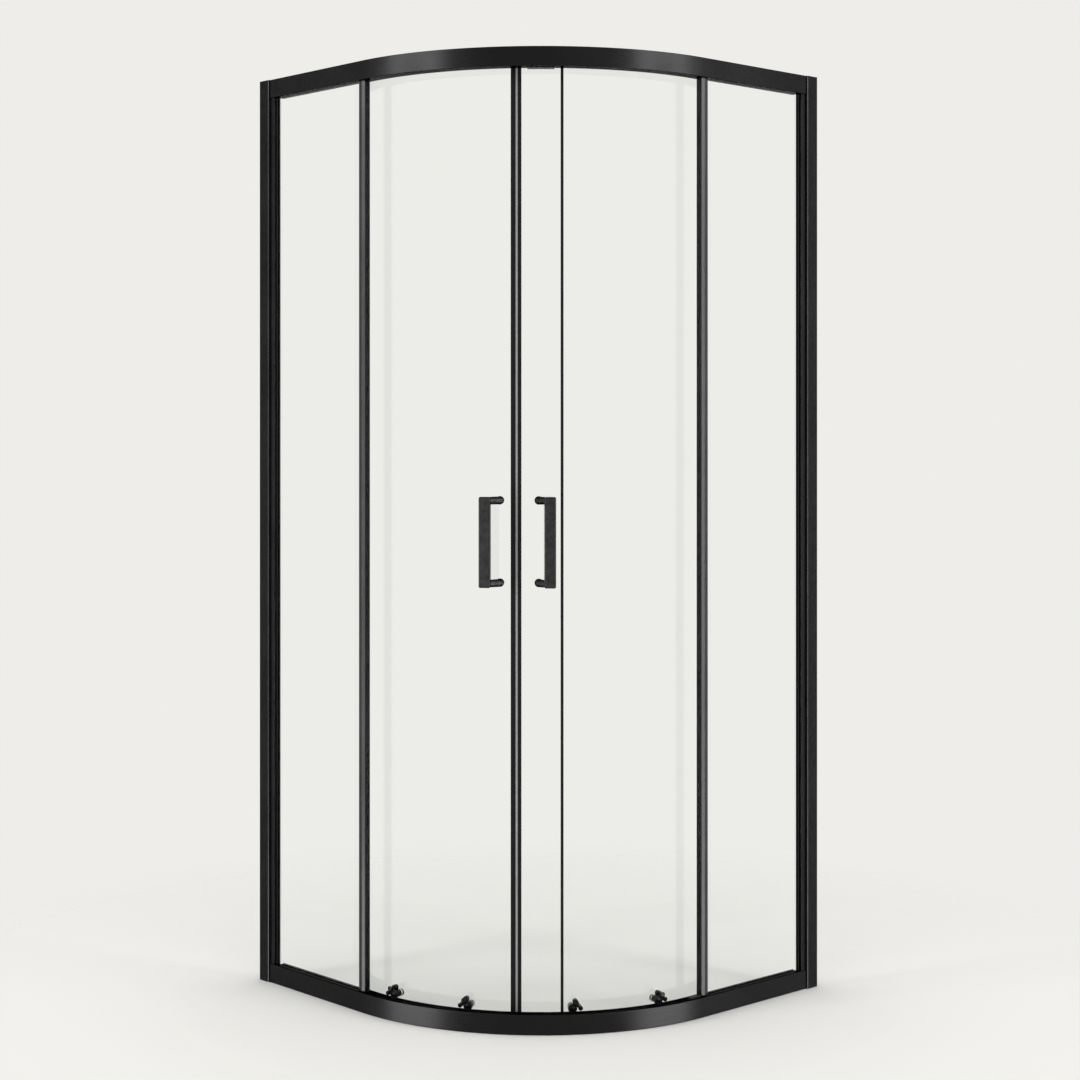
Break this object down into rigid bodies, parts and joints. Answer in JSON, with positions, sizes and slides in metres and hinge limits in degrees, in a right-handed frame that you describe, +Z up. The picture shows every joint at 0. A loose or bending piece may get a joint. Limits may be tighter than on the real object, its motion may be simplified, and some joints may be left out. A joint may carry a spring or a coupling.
{
  "type": "quadrant shower enclosure",
  "caption": "Quarter-round shower enclosure: straight fixed glass panels off two walls, curved sliding glass doors on rollers, dark metal rails, posts and bar handles.",
  "frame": {"origin": "on the floor under the middle of the overall square of the enclosure", "axes": "+Z up; the left wall is the plane of lowest X, the back wall the plane of highest Y, and the curved doors bulge towards +X and -Y"},
  "size_m": [0.808, 0.808, 1.85],
  "materials": {
    "rail_black": "satin black",
    "profile_black": "satin black",
    "clear_glass": "polished",
    "gasket_black": "matte",
    "screw_steel": "brushed",
    "trim_black": "matte",
    "seal_black": "satin",
    "magnet_grey": "satin",
    "clear_seal": "clear",
    "handle_graphite": "satin",
    "washer_clear": "satin",
    "roller_black": "satin",
    "pin_steel": "blackened",
    "spring_rubber": "matte",
    "nut_clear": "clear",
    "wheel_nylon": "satin",
    "button_black": "gloss",
    "strip_black": "satin"
  },
  "bodies": {
    "frame": {"bottom_rail": "rail_black", "top_rail": "rail_black", "left_wall_profile": "profile_black", "left_jamb": "profile_black", "left_fixed_glass": "clear_glass", "left_post": "profile_black", "left_glazing_gasket": "gasket_black", "right_wall_profile": "profile_black", "right_jamb": "profile_black", "right_fixed_glass": "clear_glass", "right_post": "profile_black", "right_glazing_gasket": "gasket_black", "rail_gaskets": "gasket_black", "rail_screws": "screw_steel", "jamb_screws": "screw_steel", "screw_caps": "trim_black", "profile_caps": "trim_black", "centre_stop": "trim_black", "post_plug": "trim_black", "door_stops": "trim_black"},
    "left_door": {"left_door_glass": "clear_glass", "left_door_seal": "seal_black", "left_magnet_strip": "magnet_grey", "left_edge_seal": "clear_seal", "left_bottom_seal": "clear_seal", "left_handle": "handle_graphite", "left_handle_washers": "washer_clear", "left_handle_screws": "screw_steel", "left_bottom_carriers": "roller_black", "left_top_carriers": "roller_black", "left_clamp_nuts": "nut_clear", "left_roller_pins": "pin_steel", "left_button_springs": "spring_rubber"},
    "right_door": {"right_door_glass": "clear_glass", "right_door_seal": "seal_black", "right_magnet_strip": "magnet_grey", "right_edge_seal": "clear_seal", "right_bottom_seal": "clear_seal", "right_handle": "handle_graphite", "right_handle_washers": "washer_clear", "right_handle_screws": "screw_steel", "right_bottom_carriers": "roller_black", "right_top_carriers": "roller_black", "right_clamp_nuts": "nut_clear", "right_roller_pins": "pin_steel", "right_button_springs": "spring_rubber", "right_glass_strip": "strip_black"},
    "left_bottom_wheel_inner": {"left_bottom_wheel_inner": "wheel_nylon"},
    "left_bottom_wheel_outer": {"left_bottom_wheel_outer": "wheel_nylon"},
    "left_top_wheel_inner": {"left_top_wheel_inner": "wheel_nylon"},
    "left_top_wheel_outer": {"left_top_wheel_outer": "wheel_nylon"},
    "left_release_button_inner": {"left_release_button_inner": "button_black"},
    "left_release_button_outer": {"left_release_button_outer": "button_black"},
    "right_bottom_wheel_inner": {"right_bottom_wheel_inner": "wheel_nylon"},
    "right_bottom_wheel_outer": {"right_bottom_wheel_outer": "wheel_nylon"},
    "right_top_wheel_inner": {"right_top_wheel_inner": "wheel_nylon"},
    "right_top_wheel_outer": {"right_top_wheel_outer": "wheel_nylon"},
    "right_release_button_inner": {"right_release_button_inner": "button_black"},
    "right_release_button_outer": {"right_release_button_outer": "button_black"}
  },
  "joints": [
    {"name": "left_door_travel", "type": "hinge", "parent": "frame", "child": "left_door", "pos_m": [-0.09556, 0.1707, 0.925], "axis": [0, 0, -1], "range_deg": [0, 17.15]},
    {"name": "right_door_travel", "type": "hinge", "parent": "frame", "child": "right_door", "pos_m": [-0.12983, 0.08775, 0.925], "axis": [0, 0, 1], "range_deg": [0, 20.39]},
    {"name": "left_bottom_wheel_inner_spin", "type": "hinge", "parent": "left_door", "child": "left_bottom_wheel_inner", "pos_m": [0.14584, -0.31384, 0.041], "axis": [0.4894, -0.8721, 0], "continuous": true},
    {"name": "left_bottom_wheel_outer_spin", "type": "hinge", "parent": "left_door", "child": "left_bottom_wheel_outer", "pos_m": [-0.01094, -0.36614, 0.041], "axis": [0.1323, -0.9912, 0], "continuous": true},
    {"name": "left_top_wheel_inner_spin", "type": "hinge", "parent": "left_door", "child": "left_top_wheel_inner", "pos_m": [0.14584, -0.31384, 1.8256], "axis": [0.4894, -0.8721, 0], "continuous": true},
    {"name": "left_top_wheel_outer_spin", "type": "hinge", "parent": "left_door", "child": "left_top_wheel_outer", "pos_m": [-0.01094, -0.36614, 1.8256], "axis": [0.1323, -0.9912, 0], "continuous": true},
    {"name": "left_release_button_inner_press", "type": "slide", "parent": "left_door", "child": "left_release_button_inner", "axis": [-0.4894, 0.8721, 0], "range_m": [0, 0.0015], "stiffness_N_per_m": 800},
    {"name": "left_release_button_outer_press", "type": "slide", "parent": "left_door", "child": "left_release_button_outer", "axis": [-0.1323, 0.9912, 0], "range_m": [0, 0.0015], "stiffness_N_per_m": 800},
    {"name": "right_bottom_wheel_inner_spin", "type": "hinge", "parent": "right_door", "child": "right_bottom_wheel_inner", "pos_m": [0.29257, -0.17997, 0.041], "axis": [0.8236, -0.5671, 0], "continuous": true},
    {"name": "right_bottom_wheel_outer_spin", "type": "hinge", "parent": "right_door", "child": "right_bottom_wheel_outer", "pos_m": [0.36119, -0.01852, 0.041], "axis": [0.9799, -0.1994, 0], "continuous": true},
    {"name": "right_top_wheel_inner_spin", "type": "hinge", "parent": "right_door", "child": "right_top_wheel_inner", "pos_m": [0.29257, -0.17997, 1.8256], "axis": [0.8236, -0.5671, 0], "continuous": true},
    {"name": "right_top_wheel_outer_spin", "type": "hinge", "parent": "right_door", "child": "right_top_wheel_outer", "pos_m": [0.36119, -0.01852, 1.8256], "axis": [0.9799, -0.1994, 0], "continuous": true},
    {"name": "right_release_button_inner_press", "type": "slide", "parent": "right_door", "child": "right_release_button_inner", "axis": [-0.8236, 0.5671, 0], "range_m": [0, 0.0015], "stiffness_N_per_m": 800},
    {"name": "right_release_button_outer_press", "type": "slide", "parent": "right_door", "child": "right_release_button_outer", "axis": [-0.9799, 0.1994, 0], "range_m": [0, 0.0015], "stiffness_N_per_m": 800}
  ],
  "couplings": [
    {"joint": "left_bottom_wheel_inner_spin", "follows": "left_door_travel", "ratio": 62.223},
    {"joint": "left_bottom_wheel_outer_spin", "follows": "left_door_travel", "ratio": 62.468},
    {"joint": "left_top_wheel_inner_spin", "follows": "left_door_travel", "ratio": 62.223},
    {"joint": "left_top_wheel_outer_spin", "follows": "left_door_travel", "ratio": 62.468},
    {"joint": "right_bottom_wheel_inner_spin", "follows": "right_door_travel", "ratio": -57.483},
    {"joint": "right_bottom_wheel_outer_spin", "follows": "right_door_travel", "ratio": -57.746},
    {"joint": "right_top_wheel_inner_spin", "follows": "right_door_travel", "ratio": -57.483},
    {"joint": "right_top_wheel_outer_spin", "follows": "right_door_travel", "ratio": -57.746}
  ]
}
